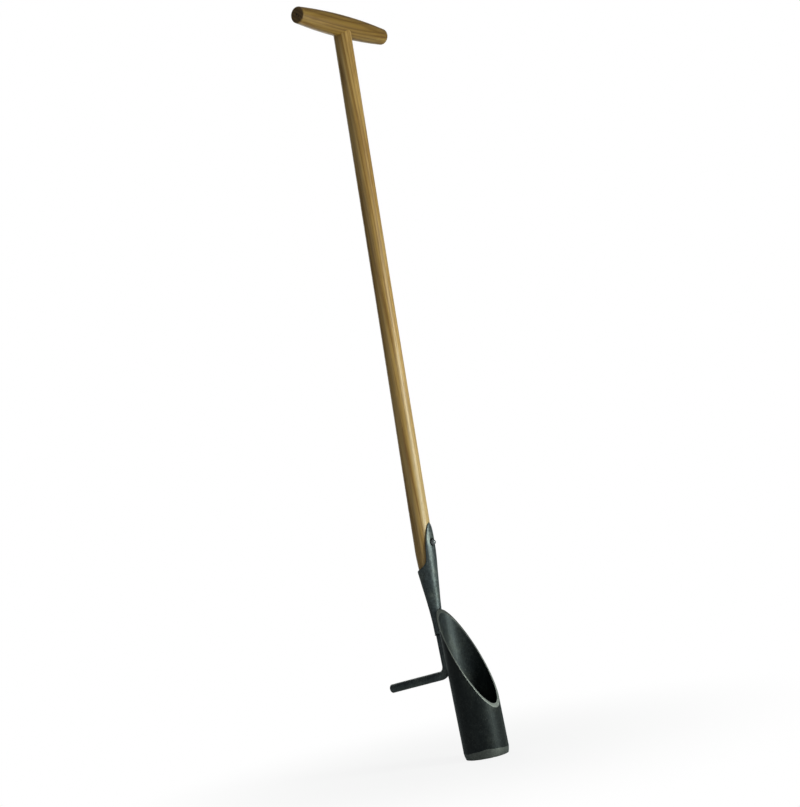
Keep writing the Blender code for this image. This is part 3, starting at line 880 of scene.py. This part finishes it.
def build_shaft(wood):
    sides = 96
    heights = steps(SHAFT_BOTTOM_Z, SOCKET_FULL_Z, 30) + steps(SOCKET_FULL_Z, GRIP_CENTRE.z - 5 * MM, 120)[1:]
    rings = []
    for z in heights:
        ring = []
        for j in range(sides):
            angle = 2 * math.pi * j / sides
            shaved = noise.noise(Vector((math.cos(angle) * 1.3, math.sin(angle) * 1.3, z * 14))) * 0.16 * MM
            ring.append(on_shell(angle, z, shaft_radius(z) - abs(shaved)))
        rings.append(ring)
    body = lattice("shaft_ash", rings, capped=True)
    tenon = carved("tenon", upright("tenon", TENON_RADIUS, -40 * MM, 30 * MM), [
        ("DIFFERENCE", sky()),
        ("DIFFERENCE", wedge_blank(0.1 * MM)),
    ])
    pilot_radius = SCREW_SHANK_RADIUS + GAP
    pilot = [
        (0, 2 * SHAFT_LOW_RADIUS),
        (pilot_radius, 2 * SHAFT_LOW_RADIUS),
        (pilot_radius, -SCREW_SHANK_LENGTH / 2),
        (0, -SCREW_SHANK_LENGTH / 2),
    ]
    mesh = carved("shaft_ash", body, [
        ("DIFFERENCE", barrel("saddle", 0.12 * MM)),
        ("UNION", tenon),
        ("DIFFERENCE", turned("pilot", pilot, 24, screw_frame())),
    ])
    piece("shaft_ash", mesh, wood, "ash_wood", "shaft")


def fillet_spot(bead, other_y, other_radius, z):
    """The point at height z where a bead lies against both the tube and a round piece behind it."""
    to_tube = TUBE_RADIUS + GAP + bead
    to_other = other_radius + GAP + bead
    y = (to_tube**2 - to_other**2 + other_y**2) / (2 * other_y)
    return Vector((math.sqrt(to_tube**2 - y**2), y, z))


def rippled(name, path, bead, side, steel, node):
    """A weld bead of overlapping ripples along a path, which blends at its ends."""
    strides = [(b - a).length for a, b in zip(path, path[1:])]
    total = sum(strides)
    count = max(12, int(total / (0.32 * MM)))
    points = resampled(path, strides, count)
    radii = []
    for i, point in enumerate(points):
        at = total * i / (count - 1)
        wave = abs(math.sin(math.pi * at / BEAD_PITCH + 0.7 * noise.noise(point * 300)))
        swell = 1.0 - 0.16 * (1 - wave) + 0.06 * noise.noise(point * 120)
        end = min(1.0, 0.35 + 0.65 * ease(min(at, total - at) / (1.5 * bead)))
        radii.append(min(bead, bead * swell) * end)
    points = [Vector((point.x * side, point.y, point.z)) for point in points]
    rings = []
    for i, (point, radius) in enumerate(zip(points, radii)):
        tangent = (points[min(i + 1, count - 1)] - points[max(i - 1, 0)]).normalized()
        first = Vector((0, 0, 1)) if abs(tangent.z) < 0.8 else Vector((1, 0, 0))
        first = (first - tangent * first.dot(tangent)).normalized()
        second = tangent.cross(first)
        rings.append([
            point + (first * math.cos(a) + second * math.sin(a)) * radius
            for a in (2 * math.pi * j / 20 for j in range(20))
        ])
    piece(name, lattice(name, rings, capped=True), steel, "weld_steel", node)


def build_welds(steel):
    along_rod = [
        fillet_spot(ROD_BEAD, ROD_Y, ROD_RADIUS, z)
        for z in (BAR_Z + BEND_RADIUS, SOCKET_BOTTOM_Z - 2 * END_BEAD - 3 * MM)
    ]
    along_socket = [
        fillet_spot(SOCKET_BEAD, centre(z).y, socket_radius(z), z)
        for z in steps(SOCKET_BOTTOM_Z + 3 * MM, WINDOW_BACK_Z - 9 * MM, 7)
    ]
    for side, word in ((-1, "left"), (1, "right")):
        rippled("rod_bead_" + word, along_rod, ROD_BEAD, side, steel, "rod_weld_" + word)
        rippled("socket_bead_" + word, along_socket, SOCKET_BEAD, side, steel, "socket_weld_" + word)
    reach = ROD_RADIUS + 0.65 * END_BEAD
    z = SOCKET_BOTTOM_Z - GAP - END_BEAD
    half_turn = math.radians(112)  # The bead stops short of the tube.
    ring = [
        Vector((reach * math.sin(angle), ROD_Y + reach * math.cos(angle), z))
        for angle in steps(-half_turn, half_turn, 41)
    ]
    rippled("socket_end_bead", ring, END_BEAD, 1, steel, "socket_end_weld")


# ---- stage ------------------------------------------------------------------------------------------------

def build_floor():
    """A pale floor that turns to plain white away from the tool."""
    mesh = bpy.data.meshes.new("studio_floor")
    work = bmesh.new()
    bmesh.ops.create_circle(work, cap_ends=True, segments=96, radius=14)
    work.to_mesh(mesh)
    work.free()
    floor = loose("studio_floor", mesh)
    s = Shader("studio_floor")
    nodes = s.tree.nodes
    s.principled.inputs["Base Color"].default_value = (0.86, 0.86, 0.86, 1)
    s.principled.inputs["Roughness"].default_value = 0.9
    s.principled.inputs["Specular IOR Level"].default_value = 0.1
    reach = s.vector("LENGTH", nodes.new("ShaderNodeTexCoord").outputs["Object"])
    far = s.ramp(s.math("DIVIDE", reach, 2.0), [(0.03, 0.86), (0.30, 1.0)], smooth=True)
    seen = nodes.new("ShaderNodeLightPath").outputs["Is Camera Ray"]
    glow = nodes.new("ShaderNodeEmission")
    glow.inputs["Color"].default_value = (1, 1, 1, 1)
    glow.inputs["Strength"].default_value = 1.0
    blend = nodes.new("ShaderNodeMixShader")
    s.put(blend.inputs[0], s.math("MULTIPLY", far, seen))
    s.put(blend.inputs[1], s.principled.outputs[0])
    s.put(blend.inputs[2], glow.outputs[0])
    s.put(nodes["Material Output"].inputs["Surface"], blend.outputs[0])
    mesh.materials.append(s.material)


def area_light(name, place, target, size, power, colour):
    data = bpy.data.lights.new(name, "AREA")
    data.shape = "RECTANGLE"
    data.size, data.size_y = size
    data.energy = power
    data.color = colour
    lamp = loose(name, data)
    lamp.location = place
    lamp.rotation_euler = (Vector(target) - Vector(place)).to_track_quat("-Z", "Y").to_euler()
    lamp.visible_camera = False


def build_lights():
    """A soft key from the front, a soft overhead, and two fills. The camera sees the world as plain white."""
    lamps = (
        # name, place, target, size, watts, colour
        ("key", (0.18, -1.62, 0.35), (0, 0, 0.34), (0.45, 0.8), 25, (0.95, 1.0, 0.92)),
        ("overhead", (-0.2, -0.3, 2.7), (0, 0, 0.5), (1.8, 1.8), 9, (0.95, 1.0, 0.94)),
        ("left_fill", (-2.4, 0.3, 0.9), (0, 0, 0.5), (1.4, 1.6), 4, (0.95, 1.0, 0.98)),
        ("back_fill", (1.5, 1.9, 1.1), (0, 0, 0.5), (1.6, 1.8), 15, (0.97, 1.0, 0.96)),
    )
    for lamp in lamps:
        area_light(*lamp)
    world = bpy.data.worlds.new("studio")
    bpy.context.scene.world = world
    world.use_nodes = True
    nodes = world.node_tree.nodes
    links = world.node_tree.links
    dim = nodes["Background"]
    dim.inputs["Color"].default_value = (0.93, 0.96, 1.0, 1)
    dim.inputs["Strength"].default_value = 0.11
    bright = nodes.new("ShaderNodeBackground")
    bright.inputs["Color"].default_value = (1, 1, 1, 1)
    bright.inputs["Strength"].default_value = 1.0
    blend = nodes.new("ShaderNodeMixShader")
    links.new(nodes.new("ShaderNodeLightPath").outputs["Is Camera Ray"], blend.inputs[0])
    links.new(dim.outputs[0], blend.inputs[1])
    links.new(bright.outputs[0], blend.inputs[2])
    links.new(blend.outputs[0], nodes["World Output"].inputs["Surface"])


def build_camera():
    """From the front left, low down and looking slightly up, rolled so that the tool leans in the frame."""
    heading = math.radians(55.311)
    climb = math.radians(4.367)
    roll = math.radians(11.368)
    place = AXIS + Vector((-1.7664, -1.2220, 0.3050))
    level_right = Vector((math.cos(heading), -math.sin(heading), 0))
    level = math.cos(climb)
    forward = Vector((math.sin(heading) * level, math.cos(heading) * level, math.sin(climb)))
    level_up = level_right.cross(forward)
    right = level_right * math.cos(roll) - level_up * math.sin(roll)
    up = level_up * math.cos(roll) + level_right * math.sin(roll)
    data = bpy.data.cameras.new("camera")
    data.lens = 68.46
    data.sensor_width = 36
    data.shift_x = -0.0253
    data.shift_y = 0.0248
    data.clip_end = 100
    camera = loose("camera", data)
    camera.matrix_world = Matrix.Translation(place) @ Matrix((right, up, -forward)).transposed().to_4x4()
    bpy.context.scene.camera = camera


def build():
    build_tube(forged("forged_steel_black", (0, 0, 0)))
    build_socket(forged(
        "socket_steel_black", (90, 31, 12), painted_highlight_gain=6.0, gloss=0.07, tint=(0.96, 1.0, 0.92, 1),
        hole=(SCREW_Z, COUNTERBORE_RADIUS),
    ))
    build_foot_bar(forged("bar_steel_black", (40, 15, 90), coarse=0.8, painted_highlight_gain=5.0, tint=(0.96, 1.0, 0.94, 1)))
    build_welds(forged("bead_steel_black", (11, 70, 33), coarse=1.4))
    build_screw(zinc("zinc_plate"))
    build_shaft(ash("shaft_ash_oiled", "XYZ", (7, 3, 400), (30, -16), 0.016, painted_highlight_heights=(300, 620)))
    build_grip(ash(
        "grip_ash_oiled", "YZX", (2, -1052, 60), (-24, 22), 0.03, ring=5.2,
        tone=(0.615, 0.585, 0.425), end_tone=(1.45, 1.28, 0.97), end_at=GRIP_HALF / MM,
    ))
    build_wedge(ash(
        "wedge_oiled", "XYZ", (50, 20, 0), (12, 30), 0.05,
        tone=(0.55, 0.50, 0.45), end_tone=(3.0, 2.8, 2.4),
    ))
    build_floor()
    build_lights()
    build_camera()
    bpy.context.scene.view_settings.view_transform = "Standard"


build()
